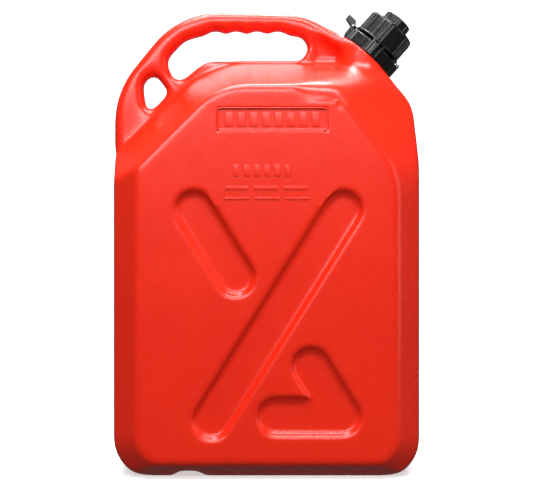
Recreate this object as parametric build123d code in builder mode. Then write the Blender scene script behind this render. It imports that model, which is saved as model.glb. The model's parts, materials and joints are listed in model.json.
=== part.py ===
from build123d import *
import os
from math import atan2, cos, degrees, radians, sin, tan

# A 20 litre blow-moulded fuel can with a clamped, self-storing pouring spout.
# Millimetres. X runs along the front panel, Y from front (-Y) to back, Z up.
# The origin is on the ground, under the middle of the can.

os.makedirs("parts", exist_ok=True)

# ---- driving dimensions: tank ----------------------------------------------------
HALF_WIDTH = 163.2  # at the parting plane, Y = 0
HALF_DEPTH = 87.5  # to the flat front and back panels
WALL = 3.0
SIDE_DRAFT = 4.6  # degrees that each side leans in, away from the parting plane
BEVEL_SLOPE = 48.0  # degrees of the bevels round the panel, off the panel's normal
BASE_SLOPE = 28.5  # degrees of the long bevels under the panels, off the panel's normal
ROOF_SLOPE = 23.3  # degrees of the roof facets, off the panel's normal
RIDGE_LEFT_X = -58.0  # left end of the level ridge along the top of the tank
SLANT_LEFT_Z = 336.0  # where the slant from that end meets the left side
BASE_CORNER = 46.0
BASE_DROP = 6.0  # the drafted outline starts this far below the flat base
SHOULDER_X = 157.0
SHOULDER_Z = 388.0
SIDE_TOP_Z = 325.0

PANEL_LEFT = -132.7
PANEL_RIGHT = 133.7
PANEL_BOTTOM = 16.0
PANEL_TOP = 402.0
PANEL_RADIUS = 26.0
SHOULDER_START_Z = 312.0  # the panel's right edge turns up-left here
SHOULDER_RUN = 4 / 3  # rise over run of that slanting edge
ROOF_CORNER_X = -50.0  # the panel's top edge turns down-left here
FAR = 150.0  # how far a facet that must not cut is moved out of the way

GROOVE_X = -80.5
GROOVE_HALF = 17.0  # half the groove's width at the base
GROOVE_HEIGHT = 6.6

RECESS_RADIUS = 20.9
RECESS_DEPTH = 5.5
RECESS_DRAFT = 38.0
FRAME_DEPTH = 1.2
EMBOSS = 0.8

# ---- driving dimensions: handle --------------------------------------------------
HANDLE_HALF = 15.0
HANDLE_ROUND = 5.2
WEB_POCKET = 4.0  # how deep the web beside the neck is hollowed, from each side
LEG_HALF = 33.0  # the handle's right leg widens in depth to this at the neck
HANDLE_LEFT = -163.2
HANDLE_TOP = 489.9
FINGER_PITCH = 22.5
FINGER_COUNT = 4
FINGER_FIRST_X = -55.2
FINGER_TROUGH_Z = 471.0
FINGER_TROUGH_RADIUS = 11.3
FINGER_RIDGE_RADIUS = 7.5
FINGER_SLOPE = 33.0

# ---- driving dimensions: neck and closure ----------------------------------------
# "rise" is the distance along the neck axis, 0 at the locking collar's top face.
NECK_X = 116.3
NECK_Z = 451.8
NECK_TILT = 48.2  # degrees of the neck axis above +X
LAND_RISE = -14.0  # the flat land that the neck stands on
LAND_RADIUS = 34.6
BOSS_FLARE = 10.0
BOSS_DROP = 36.0  # how far straight down the boss under the land goes
NECK_DEPTH = 46.0
NECK_BORE = 23.0
NECK_OUTER = 26.4
NECK_LIP = -5.3
THREAD_STEP = 1.3  # how far a thread stands out of its wall
THREAD_PITCH = 4.0

COLLAR_BOTTOM = -13.3
COLLAR_TOP_WALL = 2.15
COLLAR_BORE = 29.4
COLLAR_SKIRT = 31.9
COLLAR_HOLE = 25.3
COLLAR_FIN_RADIUS = 33.7
COLLAR_FIN_TOP = 3.2
COLLAR_FIN_WIDTH = 2.1
COLLAR_FIN_SPACING = 11.7  # degrees between the fins of a group
COLLAR_FIN_FIRST = 3.2  # degrees from the front to the middle of the first group
LEVER_CLEAR_ANGLE = 14.0  # no fin stands this near the lever, in degrees

PIN_RADIUS = 1.2
PIN_AT = (-32.7, 2.5)  # radius and rise
LEVER_HALF = 4.6
EAR_WIDTH = 2.2
RUNNING_GAP = 0.35
SPRING_HALF = 2.6
SPRING_ROOM = 2.5
SPRING_COIL = 1.75
SPRING_WIRE = 0.3
SPRING_PITCH = 0.9
SPRING_TURNS = 5

FLANGE_LOW = -3.8
FLANGE_HIGH = -2.2
FLANGE_RADIUS = 28.9
NOZZLE_OUTER = 22.5
NOZZLE_BORE = 20.6
NOZZLE_LIP = 15.0
SEAL_THICK = 1.2

CAP_FLANGE_LOW = 3.6
CAP_FLANGE_HIGH = 5.2
CAP_FLANGE_RADIUS = 28.9
CAP_SKIRT = 27.0
CAP_BORE = 25.3
CAP_TOP = 30.3
CAP_TOP_WALL = 2.2
CAP_RIB_RADIUS = 28.0
CAP_RIB_WIDTH = 1.7
CAP_RIB_SPACING = 8.5
CAP_RIB_FIRST = -5.0
CAP_SIDE_LEAN = 0.4  # how much narrower the skirt is at its top
LINER_THICK = 1.8

KNOB_LOW = 30.8
KNOB_TOP = 40.6
KNOB_TOP_WALL = 2.2
KNOB_SKIRT = 15.0
KNOB_BORE = 13.3
KNOB_RIB_RADIUS = 16.0
KNOB_RIB_WIDTH = 1.8
KNOB_RIB_SPACING = 24.0
RIB_ROOT = 0.8  # how far a rib's foot reaches into its wall
STUB_OUTER = 11.2
STUB_BORE = 5.0
STUB_LIP = 37.2

SPOUT_OUTER = 20.2
SPOUT_WALL = 1.8
SPOUT_FLANGE = 22.6
SPOUT_TAPER_FROM = -12.0
SPOUT_TAPER_TO = -150.0
SPOUT_END = -172.0
SPOUT_TIP_RADIUS = 12.0
STRAINER_FLOOR = 19.5
BREATHER_OFFSET = 6.6
BREATHER_RADIUS = 2.6
BREATHER_TOP = 12.0
PLUG_RADIUS = 19.9
PLUG_BORE = 16.4
O_RING_RISE = 22.2
O_RING_WIRE = 1.2
O_RING_GROOVE = 1.7

neck_origin = Vector(NECK_X, 0, NECK_Z)
along_neck = Vector(cos(radians(NECK_TILT)), 0, sin(radians(NECK_TILT)))
across_neck = Vector(sin(radians(NECK_TILT)), 0, -cos(radians(NECK_TILT)))
neck_axis = Axis(neck_origin, along_neck)
# Square to the neck axis. Its x points to the front, and its y across the neck.
neck_plane = Plane(origin=neck_origin, x_dir=(0, -1, 0), z_dir=along_neck)
# Holds the neck axis. Its x is the radius and its y is the rise.
section_plane = Plane(origin=neck_origin, x_dir=across_neck, z_dir=(0, -1, 0))


def at_neck(radius, rise):
    """The X and Z of a point across the neck axis and along it."""
    point = neck_origin + across_neck * radius + along_neck * rise
    return point.X, point.Z


# ---- shared shapes ---------------------------------------------------------------
def rounded_outline(corners):
    """A closed outline with its own radius at each (x, z, radius) corner."""
    with BuildLine(mode=Mode.PRIVATE) as outline:
        FilletPolyline([(x, z) for x, z, _ in corners], radius=[r for _, _, r in corners], close=True)
    return outline.line


def silhouette():
    """The tank's outline at the parting plane. The base is cut flat afterwards."""
    land_left = at_neck(-LAND_RADIUS, LAND_RISE)
    land_right = at_neck(LAND_RADIUS, LAND_RISE)
    ridge = PANEL_TOP + HALF_DEPTH * tan(radians(ROOF_SLOPE)) + 1.0
    return rounded_outline(
        [
            (-HALF_WIDTH, -BASE_DROP, BASE_CORNER),
            (HALF_WIDTH, -BASE_DROP, BASE_CORNER - 2),
            (HALF_WIDTH, SIDE_TOP_Z, 150),
            (SHOULDER_X, SHOULDER_Z, 45),
            (*land_right, 60),
            (land_left[0] + 22, land_left[1] - 20, 3),
            (land_left[0] - 12, ridge, 12),
            (RIDGE_LEFT_X, ridge, 60),
            (-HALF_WIDTH, SLANT_LEFT_Z, 12),
        ]
    )


def base_outline():
    """The flat base and its round corners, which have no draft."""
    side = HALF_WIDTH + 1
    far = PANEL_TOP + FAR
    return rounded_outline(
        [
            (-side, 0, BASE_CORNER),
            (side, 0, BASE_CORNER - 2),
            (side, far, 10),
            (-side, far, 10),
        ]
    )


def steep_outline():
    """The panel's outline, with only its side, bottom and shoulder edges in place."""
    peak = SHOULDER_START_Z + (PANEL_RIGHT - PANEL_LEFT) * SHOULDER_RUN
    return rounded_outline(
        [
            (PANEL_LEFT, PANEL_BOTTOM, PANEL_RADIUS),
            (PANEL_RIGHT, PANEL_BOTTOM, PANEL_RADIUS),
            (PANEL_RIGHT, SHOULDER_START_Z, 70),
            (PANEL_LEFT, peak, 10),
        ]
    )


def roof_outline():
    """The panel's outline, with only its top edge and upper left slant in place."""
    left = PANEL_LEFT - FAR
    right = PANEL_RIGHT + FAR
    return rounded_outline(
        [
            (left, -FAR, 10),
            (right, -FAR, 10),
            (right, PANEL_TOP, 10),
            (ROOF_CORNER_X, PANEL_TOP, 70),
            (left, PANEL_TOP - (ROOF_CORNER_X - left), 10),
        ]
    )


def low_outline():
    """The panel's outline, with only its bottom edge in place."""
    far = PANEL_TOP + 2 * FAR
    return rounded_outline(
        [
            (PANEL_LEFT - FAR, PANEL_BOTTOM, 10),
            (PANEL_RIGHT + FAR, PANEL_BOTTOM, 10),
            (PANEL_RIGHT + FAR, far, 10),
            (PANEL_LEFT - FAR, far, 10),
        ]
    )


def facet_cut(outline, slope, inset):
    """Keep what lies inside the facets that widen from the front panel at this slope."""
    shift = inset * (tan(radians(slope)) - 1 / cos(radians(slope)))
    depth = HALF_DEPTH - inset
    with BuildSketch(Plane.XZ.offset(depth)) as rim:
        add(outline)
        make_face()
        if shift:
            offset(amount=shift, mode=Mode.REPLACE)
    extrude(rim.sketch, amount=-depth, taper=-slope, mode=Mode.INTERSECT)


def tank_block(inset):
    """The tank without its handle, neck and recesses, shrunk by inset on all sides."""
    with BuildPart(mode=Mode.PRIVATE) as block:
        for outline, draft, mode in (
            (silhouette(), SIDE_DRAFT, Mode.ADD),
            (base_outline(), 0, Mode.INTERSECT),
        ):
            with BuildSketch(Plane.XZ) as middle:
                add(outline)
                make_face()
                if inset:
                    offset(amount=-inset, mode=Mode.REPLACE)
            extrude(middle.sketch, amount=HALF_DEPTH - inset, taper=draft, mode=mode)
        facet_cut(steep_outline(), BEVEL_SLOPE, inset)
        facet_cut(roof_outline(), ROOF_SLOPE, inset)
        facet_cut(low_outline(), BASE_SLOPE, inset)
        mirror(about=Plane.XZ)
    return block.part


def base_groove(grow):
    """The groove that runs under the can from front to back."""
    half = GROOVE_HALF + grow
    high = GROOVE_HEIGHT + grow
    with BuildSketch(Plane.XZ) as groove:
        add(
            rounded_outline(
                [
                    (GROOVE_X - half - high, -high, 1),
                    (GROOVE_X - half, 0, 5),
                    (GROOVE_X - half + 9, high, 7),
                    (GROOVE_X + half - 9, high, 7),
                    (GROOVE_X + half, 0, 5),
                    (GROOVE_X + half + high, -high, 1),
                ]
            )
        )
        make_face()
    extrude(groove.sketch, amount=HALF_DEPTH, both=True, mode=Mode.SUBTRACT)


def panel_recesses(grow):
    """Cut the recesses of the front panel: two crossing grooves and a hooked one."""
    strokes = [
        ((-74, 275.7), (-31.5, 207)),
        ((77.8, 275.7), (-56, 61)),
        ((45.3, 116), (76.8, 65)),
        ((10.2, 65), (76.8, 65)),
    ]
    rim = HALF_DEPTH - grow
    for start, end in strokes:
        reach = Vector(*end) - Vector(*start)
        middle = (Vector(*start) + Vector(*end)) / 2
        with BuildSketch(Plane.XZ.offset(rim)) as stroke:
            with Locations(middle):
                SlotCenterToCenter(
                    reach.length,
                    2 * (RECESS_RADIUS + grow),
                    rotation=degrees(atan2(reach.Y, reach.X)),
                )
        extrude(stroke.sketch, amount=-RECESS_DEPTH, taper=RECESS_DRAFT, mode=Mode.SUBTRACT)


def handle_outline():
    """The handle's outer outline, closed inside the tank."""
    land_left = at_neck(-LAND_RADIUS, LAND_RISE)
    return rounded_outline(
        [
            (HANDLE_LEFT, 335, 9),
            (HANDLE_LEFT, 404.5, 95),
            (-92.6, HANDLE_TOP + 0.6, 88),
            (39.5, 487.0, 75),
            (*land_left, 9),
            (70, 415, 9),
            (-70, 402, 9),
            (-130, 335, 9),
        ]
    )


def grip_hole():
    """The hand opening. Its upper edge is a wave of finger troughs and ridges."""
    half = FINGER_PITCH / 2
    slope = radians(FINGER_SLOPE)
    sharpen = 1 / cos(slope) - 1  # how far a rounded corner stops short, per radius
    high = FINGER_TROUGH_Z + FINGER_TROUGH_RADIUS * sharpen
    low = high - half * tan(slope)
    last = FINGER_FIRST_X + (FINGER_COUNT - 1) * FINGER_PITCH
    corners = [(-109, 438, 11), (-97, 411.5, 9), (-66, 437, 30), (36.5, 436.4, 9), (46.5, 451.5, 9)]
    corners += [(38, 464.5, 9), (last + half, low, FINGER_RIDGE_RADIUS)]
    for finger in range(FINGER_COUNT):
        trough = last - finger * FINGER_PITCH
        corners += [(trough, high, FINGER_TROUGH_RADIUS), (trough - half, low, FINGER_RIDGE_RADIUS)]
    corners += [(-88, 460.5, 20)]
    with BuildSketch(Plane.XZ) as hole:
        add(rounded_outline(corners))
        make_face()
    return hole.sketch


def side_hole():
    """The small three-sided opening between the handle's left leg and its strut."""
    with BuildSketch(Plane.XZ) as hole:
        add(
            rounded_outline(
                [
                    (-133.5, 414, 9),
                    (-120.8, 424.5, 6),
                    (-104.8, 403.4, 5),
                    (-129, 378, 6),
                ]
            )
        )
        make_face()
    return hole.sketch


def web_pocket():
    """The three-sided hollow in the web between the hand opening and the neck."""
    with BuildSketch(Plane.XZ) as pocket:
        add(rounded_outline([(49, 420, 3), (49, 463, 4), (57, 463, 4), (100, 431, 5), (100, 420, 3)]))
        make_face()
    return pocket.sketch


def widening_leg():
    """The upper part of the handle's right leg, which widens in depth towards the neck."""
    land_left = at_neck(-LAND_RADIUS, LAND_RISE)
    land_middle = at_neck(0, LAND_RISE)
    with BuildPart(mode=Mode.PRIVATE) as leg:
        with BuildSketch(Plane.XZ):
            with BuildLine():
                Polyline(
                    (36, 475.5),
                    (41, 480),
                    (land_left[0] - 1, land_left[1] - 3),
                    (land_middle[0], land_middle[1] - 1),
                    (land_middle[0], 425),
                    (101, 433),
                    close=True,
                )
            make_face()
        extrude(amount=LEG_HALF, both=True)
        with BuildSketch(Plane.XY):
            with BuildLine():
                Polyline(
                    (30, HANDLE_HALF - 1),
                    (45, HANDLE_HALF - 1),
                    (land_middle[0], LEG_HALF),
                    (land_middle[0], -LEG_HALF),
                    (45, 1 - HANDLE_HALF),
                    (30, 1 - HANDLE_HALF),
                    close=True,
                )
            make_face()
        extrude(amount=HANDLE_TOP, mode=Mode.INTERSECT)
    return leg.part


def raised_marks():
    """Plain raised bars on the front panel, and the shallow frame round the top row."""
    with BuildSketch(Plane.XZ.offset(HALF_DEPTH)) as frame:
        with Locations((6, 367.5)):
            RectangleRounded(112, 23, 3)
    extrude(frame.sketch, amount=-FRAME_DEPTH, mode=Mode.SUBTRACT)
    # Each row: height, middle, number, pitch, and each bar's width, height and sunk base.
    rows = [
        (367.5, 6, 8, 12.6, 8.4, 15, FRAME_DEPTH),
        (315.5, -4.5, 6, 10.4, 6.6, 12, 0),
        (297.5, -0.5, 3, 30, 25, 4, 0),
        (286.8, 1, 3, 31, 26, 2.6, 0),
    ]
    for height, middle, count, pitch, width, tall, sunk in rows:
        with BuildSketch(Plane.XZ.offset(HALF_DEPTH - sunk)) as row:
            with Locations((middle, height)):
                with GridLocations(pitch, 1, count, 1):
                    RectangleRounded(width, tall, 1.2)
        extrude(row.sketch, amount=EMBOSS)


def ring(inner, outer, low, high):
    """A rectangular section to revolve about the neck axis."""
    with Locations(((inner + outer) / 2, (low + high) / 2)):
        Rectangle(outer - inner, high - low)


def thread(wall, step, low, turns):
    """A helical ridge on a round wall. A negative step stands inwards."""
    base = 1.9
    crest = 0.8
    overlap = 0.3 if step > 0 else -0.3
    with BuildPart(mode=Mode.PRIVATE) as ridge:
        with BuildLine() as path:
            Helix(
                pitch=THREAD_PITCH,
                height=THREAD_PITCH * turns,
                radius=wall,
                center=neck_origin + along_neck * low,
                direction=along_neck,
            )
        start = path.line @ 0
        outward = (start - (neck_origin + along_neck * low)).normalized()
        with BuildSketch(Plane(origin=start, x_dir=outward, z_dir=path.line % 0)):
            Polygon(
                (-overlap, -base / 2),
                (step, -crest / 2),
                (step, crest / 2),
                (-overlap, base / 2),
                align=None,
            )
        sweep(path=path.line, is_frenet=True)
    return ridge.part


def fins(inner, outer, low, high, width, angles):
    """Upright ribs round the neck axis at these angles from the front."""
    with BuildSketch(neck_plane.offset(low)) as feet:
        for angle in angles:
            with Locations(Rotation(0, 0, angle)):
                with Locations(((inner + outer) / 2, 0)):
                    Rectangle(outer - inner, width)
    extrude(feet.sketch, amount=high - low)


def grouped(count, first, members, spacing):
    """Angles of groups of ribs that repeat evenly round the axis."""
    middle = (members - 1) / 2
    return [
        first + group * 360 / count + (member - middle) * spacing
        for group in range(count)
        for member in range(members)
    ]


# ---- can body: tank, handle and neck, moulded in one piece -----------------------
with BuildPart() as handle:
    with BuildSketch(Plane.XZ):
        add(handle_outline())
        make_face()
    extrude(amount=HANDLE_HALF, both=True)
    for opening in (grip_hole(), side_hole()):
        extrude(opening, amount=2 * HANDLE_HALF, both=True, mode=Mode.SUBTRACT)
    faces = handle.faces().filter_by(Axis.Y).sort_by(Axis.Y)
    fillet(faces[0].edges() + faces[-1].edges(), radius=HANDLE_ROUND)
    pocket = web_pocket()
    for side in (-1, 1):
        with BuildSketch(Plane.XZ.offset(side * HANDLE_HALF)) as rim:
            add(pocket)
        extrude(rim.sketch, amount=-side * WEB_POCKET, mode=Mode.SUBTRACT)

with BuildPart() as cavity:
    add(tank_block(WALL))
    panel_recesses(WALL)
    mirror(about=Plane.XZ, mode=Mode.INTERSECT)
    base_groove(WALL)

with BuildPart() as can_body:
    add(tank_block(0))
    land_plane = neck_plane.offset(LAND_RISE)
    with BuildSketch(land_plane):
        Circle(LAND_RADIUS)
    with BuildSketch(Plane(origin=land_plane.origin - Vector(0, 0, BOSS_DROP), z_dir=along_neck)):
        Circle(LAND_RADIUS + BOSS_FLARE)
    loft()
    add(widening_leg())
    panel_recesses(0)
    mirror(about=Plane.XZ, mode=Mode.INTERSECT)
    add(handle.part)
    base_groove(0)
    with BuildSketch(neck_plane.offset(NECK_LIP)):
        Circle(NECK_OUTER)
    extrude(amount=LAND_RISE - NECK_LIP - WALL)
    add(thread(NECK_OUTER, THREAD_STEP, LAND_RISE + 1.6, 1.25))
    add(cavity.part, mode=Mode.SUBTRACT)
    with BuildSketch(neck_plane.offset(NECK_LIP)):
        Circle(NECK_BORE)
    extrude(amount=-NECK_DEPTH, mode=Mode.SUBTRACT)
    raised_marks()
can_body.part.label = "can_body"
export_step(can_body.part, "parts/can_body.step")

# ---- neck gasket: flat ring between the neck's lip and the spout base -------------
with BuildPart() as neck_gasket:
    with BuildSketch(section_plane):
        ring(NECK_BORE + 0.1, NECK_OUTER + 1.2, NECK_LIP, FLANGE_LOW)
    revolve(axis=neck_axis)
neck_gasket.part.label = "neck_gasket"
export_step(neck_gasket.part, "parts/neck_gasket.step")

# ---- spout base: the threaded adapter that the collar clamps ----------------------
with BuildPart() as spout_base:
    with BuildSketch(section_plane):
        ring(NOZZLE_BORE, FLANGE_RADIUS, FLANGE_LOW, FLANGE_HIGH)
        ring(NOZZLE_BORE, NOZZLE_OUTER, LAND_RISE, NOZZLE_LIP)
    revolve(axis=neck_axis)
    add(thread(NOZZLE_OUTER, 1.2, CAP_FLANGE_HIGH, 2))
spout_base.part.label = "spout_base"
export_step(spout_base.part, "parts/spout_base.step")

# ---- spout seal: flat ring under the stored spout's flange -------------------------
with BuildPart() as spout_seal:
    with BuildSketch(section_plane):
        ring(NOZZLE_BORE, NOZZLE_OUTER, NOZZLE_LIP, NOZZLE_LIP + SEAL_THICK)
    revolve(axis=neck_axis)
spout_seal.part.label = "spout_seal"
export_step(spout_seal.part, "parts/spout_seal.step")

# ---- locking collar: ribbed screw ring, with two ears for the lever's pin ---------
with BuildPart() as locking_collar:
    with BuildSketch(section_plane):
        ring(COLLAR_BORE, COLLAR_SKIRT, COLLAR_BOTTOM, 0)
        ring(COLLAR_HOLE, COLLAR_SKIRT, -COLLAR_TOP_WALL, 0)
    revolve(axis=neck_axis)
    rim = locking_collar.faces().sort_by(neck_axis)[-1]
    fillet(rim.edges().sort_by(SortBy.LENGTH)[-1], radius=0.9)
    fin_angles = [
        angle
        for angle in grouped(4, COLLAR_FIN_FIRST, 3, COLLAR_FIN_SPACING)
        if LEVER_CLEAR_ANGLE < (angle + 90) % 360 < 360 - LEVER_CLEAR_ANGLE
    ]
    fins(
        COLLAR_SKIRT - RIB_ROOT,
        COLLAR_FIN_RADIUS,
        COLLAR_BOTTOM,
        COLLAR_FIN_TOP,
        COLLAR_FIN_WIDTH,
        fin_angles,
    )
    fins(COLLAR_HOLE + 4, COLLAR_SKIRT, -RIB_ROOT, COLLAR_FIN_TOP, COLLAR_FIN_WIDTH, fin_angles)
    for side in (-1, 1):
        ear_middle = side * (LEVER_HALF + RUNNING_GAP + EAR_WIDTH / 2)
        with BuildSketch(section_plane.offset(ear_middle)):
            with BuildLine():
                Polyline(
                    (-COLLAR_SKIRT + 2, COLLAR_BOTTOM),
                    (-COLLAR_SKIRT - 1.0, COLLAR_BOTTOM),
                    (-34.4, -9.6),
                    (-35.0, 1.6),
                    (-33.6, 4.8),
                    (-31.2, 4.8),
                    (-COLLAR_SKIRT + 3, -0.4),
                    close=True,
                )
            make_face()
            with Locations(PIN_AT):
                Circle(PIN_RADIUS, mode=Mode.SUBTRACT)
        extrude(amount=EAR_WIDTH / 2, both=True)
    add(thread(COLLAR_BORE, -THREAD_STEP, COLLAR_BOTTOM + 1.4, 1.0))
locking_collar.part.label = "locking_collar"
export_step(locking_collar.part, "parts/locking_collar.step")

# ---- lock lever: the tab at the collar's handle side, its pin and its spring ------
with BuildPart() as lock_lever:
    with BuildSketch(section_plane):
        with BuildLine():
            Polyline(
                (-34.5, 0.3),
                (-34.6, -8.6),
                (-32.9, -9.2),
                (-32.4, -0.2),
                (-31.2, 2.3),
                (-31.4, 4.9),
                (-34.4, 8.8),
                (-44.3, 9.2),
                (-44.3, 3.3),
                close=True,
            )
        make_face()
        fillet(vertices().sort_by(Axis.X)[:2], radius=1.2)
        with Locations(PIN_AT):
            Circle(PIN_RADIUS + 0.05, mode=Mode.SUBTRACT)
    extrude(amount=LEVER_HALF, both=True)
    with BuildSketch(section_plane):
        with Locations(PIN_AT):
            Circle(SPRING_ROOM)
        with Locations((PIN_AT[0], PIN_AT[1] - SPRING_ROOM)):
            Rectangle(2 * SPRING_ROOM, 2 * SPRING_ROOM)
    extrude(amount=SPRING_HALF, both=True, mode=Mode.SUBTRACT)
lock_lever.part.label = "lock_lever"
export_step(lock_lever.part, "parts/lock_lever.step")

with BuildPart() as lock_lever_pin:
    with BuildSketch(section_plane):
        with Locations(PIN_AT):
            Circle(PIN_RADIUS)
    extrude(amount=LEVER_HALF + RUNNING_GAP + EAR_WIDTH, both=True)
lock_lever_pin.part.label = "lock_lever_pin"
export_step(lock_lever_pin.part, "parts/lock_lever_pin.step")

with BuildPart() as lock_lever_spring:
    pin_x, pin_z = at_neck(*PIN_AT)
    coil_half = SPRING_PITCH * SPRING_TURNS / 2
    with BuildLine() as coil:
        Helix(
            pitch=SPRING_PITCH,
            height=2 * coil_half,
            radius=SPRING_COIL,
            center=(pin_x, -coil_half, pin_z),
            direction=(0, 1, 0),
        )
    with BuildSketch(Plane(origin=coil.line @ 0, z_dir=coil.line % 0)):
        Circle(SPRING_WIRE)
    sweep(path=coil.line, is_frenet=True)
lock_lever_spring.part.label = "lock_lever_spring"
export_step(lock_lever_spring.part, "parts/lock_lever_spring.step")

# ---- pouring spout, stored tip down, with its O-ring, strainer and breather -------
plug_low = NOZZLE_LIP + SEAL_THICK
flange_top = plug_low + SPOUT_WALL
plug_top = CAP_TOP - CAP_TOP_WALL - LINER_THICK
with BuildPart() as pour_spout:
    with BuildSketch(section_plane):
        with BuildLine():
            Polyline(
                (SPOUT_OUTER - SPOUT_WALL, plug_low - 2),
                (SPOUT_OUTER - SPOUT_WALL, SPOUT_TAPER_FROM),
                (SPOUT_TIP_RADIUS - SPOUT_WALL, SPOUT_TAPER_TO),
                (SPOUT_TIP_RADIUS - SPOUT_WALL, SPOUT_END),
                (SPOUT_TIP_RADIUS, SPOUT_END),
                (SPOUT_TIP_RADIUS, SPOUT_TAPER_TO),
                (SPOUT_OUTER, SPOUT_TAPER_FROM),
                (SPOUT_OUTER, plug_low),
                (SPOUT_FLANGE, plug_low),
                (SPOUT_FLANGE, flange_top),
                (PLUG_RADIUS, flange_top),
                (PLUG_RADIUS, O_RING_RISE - O_RING_WIRE),
                (PLUG_RADIUS - O_RING_GROOVE, O_RING_RISE - O_RING_WIRE),
                (PLUG_RADIUS - O_RING_GROOVE, O_RING_RISE + O_RING_WIRE),
                (PLUG_RADIUS, O_RING_RISE + O_RING_WIRE),
                (PLUG_RADIUS, plug_top),
                (PLUG_BORE, plug_top),
                (PLUG_BORE, plug_low),
                close=True,
            )
        make_face()
    revolve(axis=neck_axis)
pour_spout.part.label = "pour_spout"
export_step(pour_spout.part, "parts/pour_spout.step")

with BuildPart() as spout_o_ring:
    with BuildSketch(section_plane):
        with Locations((PLUG_RADIUS - O_RING_GROOVE + O_RING_WIRE, O_RING_RISE)):
            Circle(O_RING_WIRE)
    revolve(axis=neck_axis)
spout_o_ring.part.label = "spout_o_ring"
export_step(spout_o_ring.part, "parts/spout_o_ring.step")

with BuildPart() as strainer:
    with BuildSketch(section_plane):
        ring(PLUG_BORE - 1.0, PLUG_BORE, STRAINER_FLOOR, plug_top)
        ring(0, PLUG_BORE, STRAINER_FLOOR, STRAINER_FLOOR + 1)
    revolve(axis=neck_axis)
    with BuildSketch(neck_plane.offset(STRAINER_FLOOR)):
        with HexLocations(radius=1.6, x_count=9, y_count=9) as grid:
            Circle(1.0)
        Circle(PLUG_BORE - 2.5, mode=Mode.INTERSECT)
    extrude(amount=2, both=True, mode=Mode.SUBTRACT)
strainer.part.label = "strainer"
export_step(strainer.part, "parts/strainer.step")

with BuildPart() as breather_tube:
    with BuildSketch(neck_plane.offset(SPOUT_END + 2)):
        with Locations((BREATHER_OFFSET, 0)):
            Circle(BREATHER_RADIUS)
    extrude(amount=BREATHER_TOP - SPOUT_END - 2)
    spider_bore = SPOUT_OUTER - SPOUT_WALL
    with BuildSketch(neck_plane.offset(BREATHER_TOP - 8)):
        Circle(spider_bore)
        Circle(spider_bore - 1.4, mode=Mode.SUBTRACT)
        Rectangle(2 * spider_bore - 1, 1.6)
    extrude(amount=5)
    with BuildSketch(neck_plane.offset(SPOUT_END)):
        with Locations((BREATHER_OFFSET, 0)):
            Circle(BREATHER_RADIUS - 0.8)
    extrude(amount=BREATHER_TOP - SPOUT_END + 2, mode=Mode.SUBTRACT)
breather_tube.part.label = "breather_tube"
export_step(breather_tube.part, "parts/breather_tube.step")

# ---- main cap, with its liner ------------------------------------------------------
with BuildPart() as cap_liner:
    with BuildSketch(section_plane):
        ring(STUB_BORE + 1, CAP_BORE - 0.6, plug_top, plug_top + LINER_THICK)
    revolve(axis=neck_axis)
cap_liner.part.label = "cap_liner"
export_step(cap_liner.part, "parts/cap_liner.step")

with BuildPart() as main_cap:
    with BuildSketch(section_plane):
        with BuildLine():
            Polyline(
                (CAP_BORE, CAP_FLANGE_LOW),
                (CAP_FLANGE_RADIUS, CAP_FLANGE_LOW),
                (CAP_FLANGE_RADIUS, CAP_FLANGE_HIGH),
                (CAP_SKIRT, CAP_FLANGE_HIGH),
                (CAP_SKIRT - CAP_SIDE_LEAN, CAP_TOP),
                (STUB_OUTER, CAP_TOP),
                (STUB_OUTER, STUB_LIP),
                (STUB_BORE, STUB_LIP),
                (STUB_BORE, CAP_TOP - CAP_TOP_WALL),
                (CAP_BORE, CAP_TOP - CAP_TOP_WALL),
                close=True,
            )
        make_face()
        shoulder = vertices().sort_by_distance((CAP_SKIRT - CAP_SIDE_LEAN, CAP_TOP))[0]
        fillet(shoulder, radius=3.0)
    revolve(axis=neck_axis)
    rib_angles = grouped(6, CAP_RIB_FIRST, 3, CAP_RIB_SPACING)
    fins(CAP_SKIRT - 1, CAP_RIB_RADIUS, CAP_FLANGE_LOW, CAP_TOP - 3.2, CAP_RIB_WIDTH, rib_angles)
    add(thread(CAP_BORE, -1.2, CAP_FLANGE_LOW + 1.2, 2))
    add(thread(STUB_OUTER, 1.0, CAP_TOP + 1.6, 1))
main_cap.part.label = "main_cap"
export_step(main_cap.part, "parts/main_cap.step")

# ---- vent knob, with its seal -------------------------------------------------------
with BuildPart() as vent_seal:
    with BuildSketch(section_plane):
        ring(0, KNOB_BORE - 0.8, STUB_LIP, KNOB_TOP - KNOB_TOP_WALL)
    revolve(axis=neck_axis)
vent_seal.part.label = "vent_seal"
export_step(vent_seal.part, "parts/vent_seal.step")

with BuildPart() as vent_knob:
    with BuildSketch(section_plane):
        ring(0, KNOB_SKIRT, KNOB_LOW, KNOB_TOP)
    revolve(axis=neck_axis)
    fillet(vent_knob.faces().sort_by(neck_axis)[-1].edges(), radius=1.2)
    with BuildSketch(section_plane):
        ring(0, KNOB_BORE, KNOB_LOW - 1, KNOB_TOP - KNOB_TOP_WALL)
    revolve(axis=neck_axis, mode=Mode.SUBTRACT)
    rib_angles = grouped(6, 0, 2, KNOB_RIB_SPACING)
    fins(KNOB_SKIRT - RIB_ROOT, KNOB_RIB_RADIUS, KNOB_LOW, KNOB_TOP - 1.2, KNOB_RIB_WIDTH, rib_angles)
    add(thread(KNOB_BORE, -0.75, KNOB_LOW + 1.2, 1))
vent_knob.part.label = "vent_knob"
export_step(vent_knob.part, "parts/vent_knob.step")
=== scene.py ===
import json
import math

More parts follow.
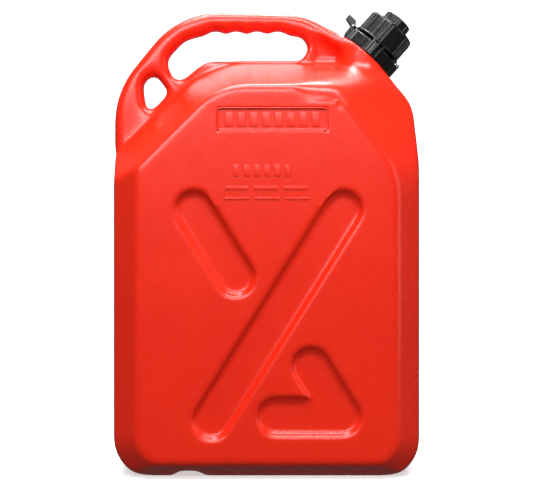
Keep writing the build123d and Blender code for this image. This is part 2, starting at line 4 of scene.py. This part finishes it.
import bmesh
import bpy
import numpy as np
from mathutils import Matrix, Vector


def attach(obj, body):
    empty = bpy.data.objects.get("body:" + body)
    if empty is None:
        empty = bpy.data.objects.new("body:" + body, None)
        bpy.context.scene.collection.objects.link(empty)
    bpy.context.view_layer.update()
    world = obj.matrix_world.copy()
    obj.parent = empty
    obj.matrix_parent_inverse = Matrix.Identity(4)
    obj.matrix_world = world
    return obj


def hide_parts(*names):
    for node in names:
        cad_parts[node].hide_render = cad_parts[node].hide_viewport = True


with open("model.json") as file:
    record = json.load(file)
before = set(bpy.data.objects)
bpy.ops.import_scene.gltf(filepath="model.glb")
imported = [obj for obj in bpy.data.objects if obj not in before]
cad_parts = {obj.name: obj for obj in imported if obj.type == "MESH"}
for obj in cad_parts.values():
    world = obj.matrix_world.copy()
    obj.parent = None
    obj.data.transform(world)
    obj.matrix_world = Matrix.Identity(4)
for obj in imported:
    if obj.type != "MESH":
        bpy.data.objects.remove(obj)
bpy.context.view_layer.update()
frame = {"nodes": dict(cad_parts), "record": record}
nodes = frame["nodes"]

# ---- sizes, in metres -----------------------------------------------------------
PANEL_Y = 0.0875  # the flat panels, front and back of the parting plane
LABEL_ZONE = (-0.058, 0.070, 0.280, 0.384)  # low and high X, then low and high Z
FRAME_MIDDLE = (0.006, 0.3675)
FRAME_SIZE = (0.112, 0.023)
FRAME_CORNER = 0.003
FRAME_SINK = 0.0012
RIM_WIDTH = 0.0011
MARK_HEIGHT = 0.00045
MARK_ROOT = 0.0010
MARK_BEVEL = 0.00045
MARK_CORNER = 0.0012
# Sections of a mark and of the rim: share of the inset or width, and share of the height.
MARK_SECTION = [(0.0, 0.3), (0.25, 0.75), (0.6, 0.95), (1.0, 1.0)]
RIM_SECTION = [(-0.5, -1.6), (-0.5, 0.1), (-0.25, 0.35), (0.1, 0.42), (0.5, 0.2), (0.8, -1.0)]
ARC_STEPS = 5
# Each row of marks: height, middle, number, pitch, and each bar's width, height and sunk base.
MARK_ROWS = [
    (0.3675, 0.006, 8, 0.0126, 0.0084, 0.015, FRAME_SINK),
    (0.3155, -0.0045, 6, 0.0104, 0.0066, 0.012, 0.0),
    (0.2975, -0.0005, 3, 0.030, 0.025, 0.004, 0.0),
    (0.2868, 0.001, 3, 0.031, 0.026, 0.0026, 0.0),
]

CAMERA_DISTANCE = 1.49
CAMERA_HEIGHT = 0.2401
CAMERA_LENS = 93.2
SENSOR = 36.0

NECK_POINT = Vector((0.1163, 0.0, 0.4518))
NECK_TILT = math.radians(48.2)
NECK_AXIS = Vector((math.cos(NECK_TILT), 0.0, math.sin(NECK_TILT)))

CAN_VOXEL = 0.0016
CLOSURE_VOXEL = 0.00038

# ---- how soft each place of the mouldings is: 0 holds a point, 1 lets it move freely -------
# A ramp is a pair of distances, between which an effect fades in.
BODY_SOFTNESS = 0.7
BODY_ROUNDS = 16
PANEL_RAMP = (0.066, 0.072)  # distance from the parting plane
RECESS_ZONE = (-0.104, 0.108, 0.036, 0.305)  # low and high X, then low and high Z
RECESS_FADE = 0.010
RECESS_HOLD = 0.55
NECK_RAMP = (-0.018, -0.014)  # distance along the neck's axis
NECK_HOLD = 0.65
GRIP_THIN_RAMP = (0.0152, 0.020)  # distance from the parting plane
GRIP_HIGH_RAMP = (0.436, 0.442)  # height
GRIP_HOLD = 0.35
LEAST_SOFTNESS = 0.02

HANDLE_SOFTNESS = 0.8
HANDLE_ROUNDS = 30
HANDLE_EDGE_RAMP = (0.002, 0.009)  # distance from the parting plane
HANDLE_ABOVE_RAMP = (0.0, 0.006)  # height above the line where the handle leaves the tank
HANDLE_LINE_AT_X_0 = 0.499  # that line climbs at 45 degrees, and then runs level
HANDLE_LINE_TOP = 0.441

BLEND_SOFTNESS = 0.9
BLEND_ROUNDS = 120
BLEND_START = (0.058, -0.0875, 0.400)  # the crease where the roof meets the shoulder
BLEND_END = (0.128, -0.030, 0.424)
BLEND_REACH = 0.030
BLEND_CORE = 0.3  # share of the reach with the full effect
NECK_CLEAR_RAMP = (-0.020, -0.016)  # distance along the neck's axis

CLOSURE_SOFTNESS = 0.55
CLOSURE_ROUNDS = 1

LABEL_SKIN = 0.0019  # the outer skin of the front panel is within this of its plane
LABEL_FADE = 0.004
FRAME_FADE = 0.0001

# ---- studio ----------------------------------------------------------------------------
FLOOR_WHITE = 0.86
FLOOR_ROUGHNESS = 0.9
FLOOR_GLOW = 0.55  # keeps the contact shadow faint
SURROUND_GLOW = 0.12
MIDDLE = (0.0, 0.0, 0.25)
# Each soft box: name, place, target, width and height, and power in watts.
LAMPS = [
    ("high_front_box", (0.10, -0.85, 1.75), MIDDLE, (1.5, 0.35), 34.0),
    ("front_box", (-0.35, -2.2, 1.15), MIDDLE, (1.5, 0.5), 28.0),
    ("top_box", (-0.15, 0.10, 1.60), MIDDLE, (1.3, 0.30), 24.0),
    ("back_box", (0.0, 1.25, 1.50), (0.0, 0.0, 0.42), (1.6, 0.7), 8.0),
    ("right_box", (1.7, -0.8, 0.6), MIDDLE, (0.9, 1.3), 5.0),
    ("back_wash", (0.0, 0.9, 2.4), (0.0, 2.2, 0.9), (3.2, 1.0), 60.0),
]
BACKDROP_HALF = 4.0
BACKDROP_FRONT = -3.0
BACKDROP_BACK = 2.2
BACKDROP_TOP = 3.0
BACKDROP_BEND = 0.8
BACKDROP_STEPS = 16


# ---- camera, floor and light ------------------------------------------------------
def aim(obj, target):
    """Turn a camera or lamp so that it looks at a point."""
    direction = Vector(target) - obj.location
    obj.rotation_euler = direction.to_track_quat("-Z", "Y").to_euler()


def make_camera():
    data = bpy.data.cameras.new("camera")
    data.lens = CAMERA_LENS
    data.sensor_width = SENSOR
    camera = bpy.data.objects.new("camera", data)
    camera.location = (0.0, -CAMERA_DISTANCE, CAMERA_HEIGHT)
    camera.rotation_euler = (math.pi / 2, 0.0, 0.0)
    bpy.context.scene.collection.objects.link(camera)
    bpy.context.scene.camera = camera


def make_lamp(name, place, target, size, power):
    data = bpy.data.lights.new(name, "AREA")
    data.shape = "RECTANGLE"
    data.size, data.size_y = size
    data.energy = power
    lamp = bpy.data.objects.new(name, data)
    lamp.location = place
    aim(lamp, target)
    bpy.context.scene.collection.objects.link(lamp)


def make_studio():
    """Pale floor that curves up into a backdrop, soft boxes, and a white surround."""
    bend = BACKDROP_BEND
    profile = [(BACKDROP_FRONT, 0.0)]
    for step in range(BACKDROP_STEPS + 1):
        angle = step / BACKDROP_STEPS * math.pi / 2
        y = BACKDROP_BACK - bend + bend * math.sin(angle)
        z = bend - bend * math.cos(angle)
        profile.append((y, z))
    profile.append((BACKDROP_BACK, BACKDROP_TOP))
    points = [(x, y, z) for y, z in profile for x in (-BACKDROP_HALF, BACKDROP_HALF)]
    faces = [(i, i + 1, i + 3, i + 2) for i in range(0, len(points) - 2, 2)]
    mesh = bpy.data.meshes.new("floor")
    mesh.from_pydata(points, [], faces)
    mesh.polygons.foreach_set("use_smooth", [True] * len(faces))
    floor = bpy.data.objects.new("floor", mesh)
    bpy.context.scene.collection.objects.link(floor)
    material = bpy.data.materials.new("floor_paint")
    material.use_nodes = True
    shader = material.node_tree.nodes["Principled BSDF"]
    shader.inputs["Base Color"].default_value = (FLOOR_WHITE, FLOOR_WHITE, FLOOR_WHITE, 1.0)
    shader.inputs["Roughness"].default_value = FLOOR_ROUGHNESS
    shader.inputs["Emission Color"].default_value = (1.0, 1.0, 1.0, 1.0)
    shader.inputs["Emission Strength"].default_value = FLOOR_GLOW
    mesh.materials.append(material)
    floor.visible_glossy = False
    floor.visible_diffuse = False

    for lamp in LAMPS:
        make_lamp(*lamp)

    world = bpy.data.worlds.new("surround")
    world.use_nodes = True
    background = world.node_tree.nodes["Background"]
    background.inputs["Color"].default_value = (1.0, 1.0, 1.0, 1.0)
    background.inputs["Strength"].default_value = SURROUND_GLOW
    bpy.context.scene.world = world
    bpy.context.scene.view_settings.view_transform = "Standard"


# ---- materials ---------------------------------------------------------------------
class Shader:
    """A principled material whose node tree is built by short calls."""

    def __init__(self, name):
        self.material = bpy.data.materials.new(name)
        self.material.use_nodes = True
        self.tree = self.material.node_tree
        self.bsdf = self.tree.nodes["Principled BSDF"]
        self.place = self.node("ShaderNodeTexCoord").outputs["Object"]

    def node(self, kind, **values):
        made = self.tree.nodes.new(kind)
        for key, value in values.items():
            setattr(made, key, value)
        return made

    def link(self, output, target):
        self.tree.links.new(output, target)

    def fix(self, **values):
        """Set constant inputs on the shader itself."""
        for key, value in values.items():
            self.bsdf.inputs[key.replace("_", " ")].default_value = value

    def noise(self, scale, detail=3.0, roughness=0.5, stretch=None):
        texture = self.node("ShaderNodeTexNoise")
        texture.inputs["Scale"].default_value = scale
        texture.inputs["Detail"].default_value = detail
        texture.inputs["Roughness"].default_value = roughness
        source = self.place
        if stretch:
            mapping = self.node("ShaderNodeMapping")
            mapping.inputs["Scale"].default_value = stretch
            self.link(source, mapping.inputs["Vector"])
            source = mapping.outputs["Vector"]
        self.link(source, texture.inputs["Vector"])
        return texture.outputs["Fac"]

    def spread(self, source, low, high, start=0.3, end=0.7):
        """Map a noise onto a range of values."""
        mapped = self.node("ShaderNodeMapRange")
        mapped.inputs["From Min"].default_value = start
        mapped.inputs["From Max"].default_value = end
        mapped.inputs["To Min"].default_value = low
        mapped.inputs["To Max"].default_value = high
        self.link(source, mapped.inputs["Value"])
        return mapped.outputs["Result"]

    def colours(self, source, stops):
        ramp = self.node("ShaderNodeValToRGB")
        while len(ramp.color_ramp.elements) < len(stops):
            ramp.color_ramp.elements.new(0.5)
        for element, (position, colour) in zip(ramp.color_ramp.elements, stops):
            element.position = position
            element.color = (*colour, 1.0)
        self.link(source, ramp.inputs["Fac"])
        return ramp.outputs["Color"]

    def bump(self, source, distance, under=None):
        """Raise the surface by a texture, over the normals of any coarser bump."""
        made = self.node("ShaderNodeBump")
        made.inputs["Distance"].default_value = distance
        made.inputs["Strength"].default_value = 1.0
        self.link(source, made.inputs["Height"])
        if under is not None:
            self.link(under, made.inputs["Normal"])
        return made.outputs["Normal"]


def red_polyethylene():
    """Blow-moulded can: soft gloss, orange peel, flow clouding and a parting line."""
    s = Shader("red_polyethylene")
    cloud = s.noise(9.0, detail=4.0, roughness=0.6)
    colour = s.colours(cloud, [(0.3, (0.760, 0.0165, 0.0030)), (0.7, (0.820, 0.0215, 0.0045))])
    s.link(colour, s.bsdf.inputs["Base Color"])
    scuff = s.noise(60.0, detail=6.0, roughness=0.7)
    s.link(s.spread(scuff, 0.25, 0.29), s.bsdf.inputs["Roughness"])
    s.fix(IOR=1.5)
    split = s.node("ShaderNodeSeparateXYZ")
    s.link(s.place, split.inputs["Vector"])
    away = s.node("ShaderNodeMath", operation="ABSOLUTE")
    s.link(split.outputs["Y"], away.inputs[0])
    seam = s.spread(away.outputs[0], 1.0, 0.0, start=0.0002, end=0.0009)
    normal = s.bump(seam, 0.0004)
    normal = s.bump(s.noise(420.0, detail=2.0), 0.00006, under=normal)
    normal = s.bump(s.noise(28.0, detail=2.0), 0.0002, under=normal)
    s.link(normal, s.bsdf.inputs["Normal"])
    return s.material


def black_polypropylene():
    """Injection-moulded closure: satin, with fine spark-eroded grain."""
    s = Shader("black_polypropylene")
    cloud = s.noise(160.0, detail=5.0, roughness=0.65)
    colour = s.colours(cloud, [(0.3, (0.004, 0.004, 0.0045)), (0.75, (0.009, 0.009, 0.0095))])
    s.link(colour, s.bsdf.inputs["Base Color"])
    s.link(s.spread(cloud, 0.16, 0.22), s.bsdf.inputs["Roughness"])
    s.fix(Specular_IOR_Level=0.42)
    normal = s.bump(s.noise(2600.0, detail=2.0), 0.00002)
    s.link(normal, s.bsdf.inputs["Normal"])
    return s.material


def seal_rubber():
    """Nitrile seals: matt black with a pale bloom."""
    s = Shader("nitrile_rubber")
    bloom = s.noise(300.0, detail=4.0)
    colour = s.colours(bloom, [(0.35, (0.018, 0.018, 0.018)), (0.8, (0.045, 0.044, 0.043))])
    s.link(colour, s.bsdf.inputs["Base Color"])
    s.link(s.spread(bloom, 0.6, 0.8), s.bsdf.inputs["Roughness"])
    s.link(s.bump(s.noise(1800.0), 0.00003), s.bsdf.inputs["Normal"])
    return s.material


def liner_foam():
    """Foamed liner of the cap: off-white closed cells."""
    s = Shader("liner_foam")
    cell = s.node("ShaderNodeTexVoronoi")
    cell.inputs["Scale"].default_value = 1500.0
    s.link(s.place, cell.inputs["Vector"])
    colour = s.colours(cell.outputs["Distance"], [(0.0, (0.62, 0.61, 0.58)), (0.6, (0.80, 0.79, 0.76))])
    s.link(colour, s.bsdf.inputs["Base Color"])
    s.fix(Roughness=0.85)
    s.link(s.bump(cell.outputs["Distance"], 0.00008), s.bsdf.inputs["Normal"])
    return s.material


def natural_polyethylene():
    """Uncoloured inner mouldings: milky and slightly translucent."""
    s = Shader("natural_polyethylene")
    cloud = s.noise(90.0, detail=4.0)
    colour = s.colours(cloud, [(0.3, (0.62, 0.61, 0.55)), (0.7, (0.74, 0.73, 0.68))])
    s.link(colour, s.bsdf.inputs["Base Color"])
    s.link(s.spread(cloud, 0.38, 0.5), s.bsdf.inputs["Roughness"])
    s.fix(Subsurface_Weight=0.3, Subsurface_Scale=0.002)
    s.link(s.bump(s.noise(900.0), 0.00003), s.bsdf.inputs["Normal"])
    return s.material


def drawn_steel():
    """Pin and spring wire, with fine lines along the wire."""
    s = Shader("drawn_steel")
    grain = s.noise(700.0, detail=4.0, stretch=(1.0, 0.05, 1.0))
    colour = s.colours(grain, [(0.3, (0.46, 0.46, 0.47)), (0.7, (0.66, 0.66, 0.67))])
    s.link(colour, s.bsdf.inputs["Base Color"])
    s.link(s.spread(grain, 0.25, 0.45), s.bsdf.inputs["Roughness"])
    s.fix(Metallic=1.0)
    s.link(s.bump(grain, 0.00002), s.bsdf.inputs["Normal"])
    return s.material


SLOT_MAKERS = {
    "red_plastic": red_polyethylene,
    "black_plastic": black_polypropylene,
    "seal_rubber": seal_rubber,
    "liner_foam": liner_foam,
    "natural_plastic": natural_polyethylene,
    "wire_steel": drawn_steel,
}


def paint(obj, material):
    obj.data.materials.clear()
    obj.data.materials.append(material)


# ---- moulded shells: the CAD solids with the soft edges of a real moulding --------------
def smoothed(points, edges, weight, rounds):
    """Laplacian smoothing, each point held back by its own weight."""
    count = len(points)
    edges = edges[(weight[edges] > 0).any(axis=1)]
    first, second = edges[:, 0], edges[:, 1]
    degree = np.maximum(np.bincount(edges.ravel(), minlength=count), 1)[:, None]
    for _ in range(rounds):
        mean = np.empty_like(points)
        for axis in range(3):
            mean[:, axis] = np.bincount(first, points[second, axis], count)
            mean[:, axis] += np.bincount(second, points[first, axis], count)
        points = points + weight[:, None] * (mean / degree - points)
    return points


def moulded(node, voxel, passes, finish=None):
    """A copy of a CAD node with an even, rounded skin, which takes the node's place.

    Each pass is a number of smoothing rounds and a function that weighs the points.
    """
    shell = bpy.data.objects.new(node + "_moulding", nodes[node].data.copy())
    bpy.context.scene.collection.objects.link(shell)
    remesh = shell.modifiers.new("skin", "REMESH")
    remesh.mode = "VOXEL"
    remesh.voxel_size = voxel
    remesh.use_smooth_shade = True
    graph = bpy.context.evaluated_depsgraph_get()
    mesh = bpy.data.meshes.new_from_object(shell.evaluated_get(graph))
    shell.modifiers.clear()
    shell.data = mesh
    count = len(mesh.vertices)
    points = np.empty(count * 3)
    mesh.vertices.foreach_get("co", points)
    points = points.reshape(count, 3)
    edges = np.empty(len(mesh.edges) * 2, dtype=np.int32)
    mesh.edges.foreach_get("vertices", edges)
    for rounds, weigh in passes:
        points = smoothed(points, edges.reshape(-1, 2), weigh(points), rounds)
    if finish:
        points = finish(points)
    mesh.vertices.foreach_set("co", points.ravel())
    mesh.polygons.foreach_set("use_smooth", [True] * len(mesh.polygons))
    mesh.update()
    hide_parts(node)
    return shell


def step_between(value, low, high):
    """0 below low, 1 above high, and a smooth ramp between."""
    share = np.clip((value - low) / (high - low), 0.0, 1.0)
    return share * share * (3 - 2 * share)


def inside(points, low_x, high_x, low_z, high_z, ramp):
    """1 inside a rectangle of the front view, falling to 0 over the ramp outside it."""
    x, z = points[:, 0], points[:, 2]
    out = np.maximum.reduce([low_x - x, x - high_x, low_z - z, z - high_z])
    return 1 - step_between(out, 0.0, ramp)


def neck_rise(points):
    """Distance along the neck's axis from the collar's top."""
    return (points - np.array(NECK_POINT)) @ np.array(NECK_AXIS)


def can_weights(points):
    """Broad blends on the tank, tighter ones on its recesses, handle and neck."""
    y = np.abs(points[:, 1])
    on_panel = step_between(y, *PANEL_RAMP)
    weight = np.full(len(points), BODY_SOFTNESS)
    recess = on_panel * inside(points, *RECESS_ZONE, RECESS_FADE)
    weight -= RECESS_HOLD * recess
    neck = step_between(neck_rise(points), *NECK_RAMP)
    weight -= NECK_HOLD * neck
    handle = (1 - step_between(y, *GRIP_THIN_RAMP)) * step_between(points[:, 2], *GRIP_HIGH_RAMP)
    weight -= GRIP_HOLD * handle * (1 - neck)
    return np.clip(weight, LEAST_SOFTNESS, 1.0)


def near_segment(points, start, end, reach):
    """1 on a segment of the front half and its mirror image, falling to 0 at this reach."""
    folded = points * np.array([1.0, 0.0, 1.0]) + np.abs(points) * np.array([0.0, -1.0, 0.0])
    start, along = np.array(start), np.array(end) - np.array(start)
    share = np.clip((folded - start) @ along / (along @ along), 0.0, 1.0)
    gap = np.linalg.norm(folded - start - share[:, None] * along, axis=1)
    return 1 - step_between(gap, BLEND_CORE * reach, reach)


def blend_weights(points):
    """The soft places of the moulding: where roof, shoulder and neck run together."""
    clear = 1 - step_between(neck_rise(points), *NECK_CLEAR_RAMP)
    crease = near_segment(points, BLEND_START, BLEND_END, BLEND_REACH)
    return BLEND_SOFTNESS * crease * clear


def handle_weights(points):
    """Rounds the handle's long edges, and leaves its outline at the parting line."""
    y = np.abs(points[:, 1])
    clear = 1 - step_between(neck_rise(points), *NECK_CLEAR_RAMP)
    foot = np.minimum(points[:, 0] + HANDLE_LINE_AT_X_0, HANDLE_LINE_TOP)
    above = step_between(points[:, 2] - foot, *HANDLE_ABOVE_RAMP)
    return HANDLE_SOFTNESS * step_between(y, *HANDLE_EDGE_RAMP) * above * clear


def flat_label(points):
    """Take the blurred marks off the front panel, and level the floor of their frame."""
    on_front = points[:, 1] < LABEL_SKIN - PANEL_Y
    share = inside(points, *LABEL_ZONE, LABEL_FADE) * on_front
    half_x, half_z = FRAME_SIZE[0] / 2, FRAME_SIZE[1] / 2
    in_frame = inside(
        points,
        FRAME_MIDDLE[0] - half_x,
        FRAME_MIDDLE[0] + half_x,
        FRAME_MIDDLE[1] - half_z,
        FRAME_MIDDLE[1] + half_z,
        FRAME_FADE,
    )
    level = -PANEL_Y + FRAME_SINK * in_frame
    points[:, 1] += share * (level - points[:, 1])
    return points


def make_can(material):
    passes = [
        (BODY_ROUNDS, can_weights),
        (HANDLE_ROUNDS, handle_weights),
        (BLEND_ROUNDS, blend_weights),
    ]
    shell = moulded("can_body", CAN_VOXEL, passes, flat_label)
    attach(shell, "can")
    paint(shell, material)


# ---- crisp marks on the front panel -------------------------------------------------------
def rounded_rectangle(middle, size, corner, depth):
    """Points of a rounded rectangle in the panel's plane, at this depth in Y."""
    points = []
    for turn, (side_x, side_z) in enumerate([(1, 1), (-1, 1), (-1, -1), (1, -1)]):
        centre_x = middle[0] + side_x * (size[0] / 2 - corner)
        centre_z = middle[1] + side_z * (size[1] / 2 - corner)
        for step in range(ARC_STEPS + 1):
            angle = math.pi / 2 * (turn + step / ARC_STEPS)
            x = centre_x + corner * math.cos(angle)
            z = centre_z + corner * math.sin(angle)
            points.append((x, depth, z))
    return points


def skin(bm, rings):
    """Join rings of points, each with the next, into a strip. Returns the rings' corners."""
    made = [[bm.verts.new(point) for point in ring] for ring in rings]
    for near, far in zip(made, made[1:]):
        for i in range(len(near)):
            j = (i + 1) % len(near)
            bm.faces.new((near[i], near[j], far[j], far[i]))
    return made


def finished(bm, name, material):
    """Make a mesh piece that rides on the can, in the can's red."""
    bmesh.ops.recalc_face_normals(bm, faces=bm.faces)
    mesh = bpy.data.meshes.new(name)
    bm.to_mesh(mesh)
    bm.free()
    mesh.polygons.foreach_set("use_smooth", [True] * len(mesh.polygons))
    piece = bpy.data.objects.new(name, mesh)
    bpy.context.scene.collection.objects.link(piece)
    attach(piece, "can")
    paint(piece, material)


def make_marks(material):
    """Raised bars with rounded shoulders, in the CAD model's rows."""
    bm = bmesh.new()
    for height, middle, count, pitch, width, tall, sunk in MARK_ROWS:
        for number in range(count):
            place = (middle + (number - (count - 1) / 2) * pitch, height)
            base = -PANEL_Y + sunk
            rings = [rounded_rectangle(place, (width, tall), MARK_CORNER, base + MARK_ROOT)]
            for step_in, rise in MARK_SECTION:
                inset = step_in * MARK_BEVEL
                depth = base - rise * MARK_HEIGHT
                size = (width - 2 * inset, tall - 2 * inset)
                rings.append(rounded_rectangle(place, size, MARK_CORNER - inset, depth))
            made = skin(bm, rings)
            bm.faces.new(made[-1])
            bm.faces.new(reversed(made[0]))
    finished(bm, "panel_marks", material)


def make_frame_rim(material):
    """The thin bead round the sunk frame of the top row."""
    bm = bmesh.new()
    rings = []
    for out, rise in RIM_SECTION:
        grow = out * RIM_WIDTH
        size = (FRAME_SIZE[0] + 2 * grow, FRAME_SIZE[1] + 2 * grow)
        depth = -PANEL_Y - rise * MARK_HEIGHT
        rings.append(rounded_rectangle(FRAME_MIDDLE, size, FRAME_CORNER + grow, depth))
    made = skin(bm, rings)
    last, first = made[-1], made[0]
    for i in range(len(last)):
        j = (i + 1) % len(last)
        bm.faces.new((last[i], last[j], first[j], first[i]))
    finished(bm, "frame_rim", material)


def even(amount):
    """A weighing that is the same for every point."""
    return lambda points: np.full(len(points), amount)


def make_closure(material):
    """The black mouldings that show, with their edges rounded."""
    for node, body in [
        ("locking_collar", "collar"),
        ("lock_lever", "lever"),
        ("main_cap", "cap"),
        ("vent_knob", "knob"),
    ]:
        shell = moulded(node, CLOSURE_VOXEL, [(CLOSURE_ROUNDS, even(CLOSURE_SOFTNESS))])
        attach(shell, body)
        paint(shell, material)


make_camera()
make_studio()
materials = {slot: make() for slot, make in SLOT_MAKERS.items()}
for part in frame["record"]["subparts"]:
    paint(nodes[part["node"]], materials[part["material_slot"]])
make_can(materials["red_plastic"])
make_marks(materials["red_plastic"])
make_frame_rim(materials["red_plastic"])
make_closure(materials["black_plastic"])
